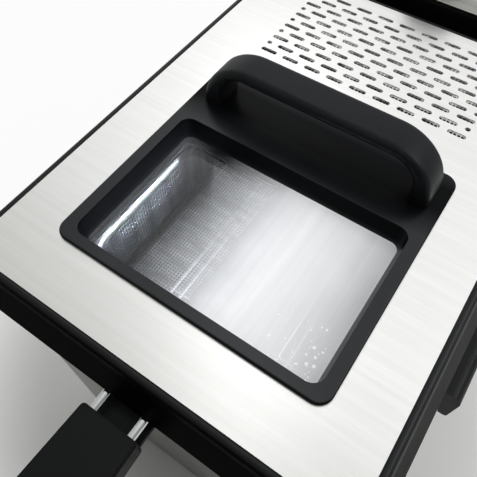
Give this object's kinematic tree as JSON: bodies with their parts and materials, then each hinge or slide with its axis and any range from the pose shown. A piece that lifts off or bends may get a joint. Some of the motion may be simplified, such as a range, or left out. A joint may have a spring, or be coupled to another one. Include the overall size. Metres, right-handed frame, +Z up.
{
  "type": "deep fryer",
  "caption": "Deep fryer: stainless body, lift-out pan, mesh basket with pull-out handle, rear control unit with heating element, vented lid with window.",
  "frame": {"origin": "on the floor under the middle of the whole machine, basket handle and control unit included", "axes": "+Z up, +Y towards the control unit at the back, +X to the right seen from the basket handle"},
  "size_m": [0.249, 0.495, 0.2968],
  "materials": {
    "body_steel": "brushed stainless",
    "pan_steel": "drawn stainless, satin",
    "lid_steel": "brushed stainless",
    "zinc_screw": "zinc plated",
    "chrome_wire": "chrome plated wire",
    "mesh_steel": "bright woven wire",
    "black_plastic": "fine moulded grain",
    "frame_plastic": "satin moulded charcoal",
    "rubber": "matt",
    "glass": "clear float glass",
    "element_steel": "heat-tinted steel tube",
    "copper": "bare copper",
    "ivory_plastic": "phenolic insulator",
    "dark_plastic": "phenolic, dark",
    "red_lens": "clear red lens",
    "green_lens": "clear green lens",
    "red_button": "moulded red",
    "knob_plastic": "satin moulded black",
    "spring_steel": "bright spring wire"
  },
  "bodies": {
    "housing": {"outer_housing": "body_steel", "base_tray": "black_plastic", "rubber_feet": "rubber", "foot_screws": "zinc_screw", "carry_handle_left": "black_plastic", "carry_handle_right": "black_plastic", "carry_handle_screws": "zinc_screw", "rear_guide": "black_plastic"},
    "pan": {"oil_pan": "pan_steel"},
    "control_unit": {"control_housing": "black_plastic", "control_back_cover": "black_plastic", "control_fascia": "body_steel", "bridge_cover": "body_steel", "cover_screws": "zinc_screw", "heating_element": "element_steel", "element_bracket": "pan_steel", "thermostat": "ivory_plastic", "sensor_bulb": "copper", "thermal_cutout": "dark_plastic", "safety_microswitch": "dark_plastic", "terminal_block": "ivory_plastic", "pilot_lamps": "ivory_plastic", "power_lens": "red_lens", "ready_lens": "green_lens", "cord_gland": "rubber"},
    "knob": {"thermostat_spindle": "pan_steel", "thermostat_knob": "knob_plastic"},
    "reset": {"reset_button": "red_button", "reset_spring": "spring_steel"},
    "basket": {"basket_mesh": "mesh_steel", "basket_rim": "chrome_wire", "basket_support_wires": "chrome_wire", "handle_bracket": "chrome_wire"},
    "basket_handle": {"handle_wires": "chrome_wire", "grip_upper": "black_plastic", "grip_lower": "black_plastic", "grip_screws": "zinc_screw"},
    "lid": {"lid_rim": "black_plastic", "lid_panel": "lid_steel", "window_frame": "frame_plastic", "lid_handle": "frame_plastic", "lid_handle_screws": "zinc_screw", "window_glass": "glass", "window_gasket": "rubber", "filter_mesh": "mesh_steel", "filter_holder": "black_plastic", "lid_inner_shell": "pan_steel", "lid_screws": "zinc_screw"}
  },
  "joints": [
    {"name": "pan_lift", "type": "slide", "parent": "housing", "child": "pan", "axis": [0, 0, 1], "range_m": [0, 0.2]},
    {"name": "control_lift", "type": "slide", "parent": "pan", "child": "control_unit", "axis": [0, 0, 1], "range_m": [0, 0.15]},
    {"name": "basket_lift", "type": "slide", "parent": "control_unit", "child": "basket", "axis": [0, 0, 1], "range_m": [0, 0.12]},
    {"name": "lid_lift", "type": "slide", "parent": "basket", "child": "lid", "axis": [0, 0, 1], "range_m": [0, 0.12]},
    {"name": "handle_pull", "type": "slide", "parent": "basket", "child": "basket_handle", "axis": [0, -1, 0], "range_m": [0, 0.045]},
    {"name": "temperature_turn", "type": "hinge", "parent": "control_unit", "child": "knob", "pos_m": [0, 0.20855, 0.27591], "axis": [0, -0.2588, 0.9659], "range_deg": [-270, 0]},
    {"name": "reset_press", "type": "slide", "parent": "control_unit", "child": "reset", "axis": [0, 0, 1], "range_m": [0, 0.002], "stiffness_N_per_m": 300, "springref_m": -0.001, "deforming": ["reset_spring"]}
  ]
}
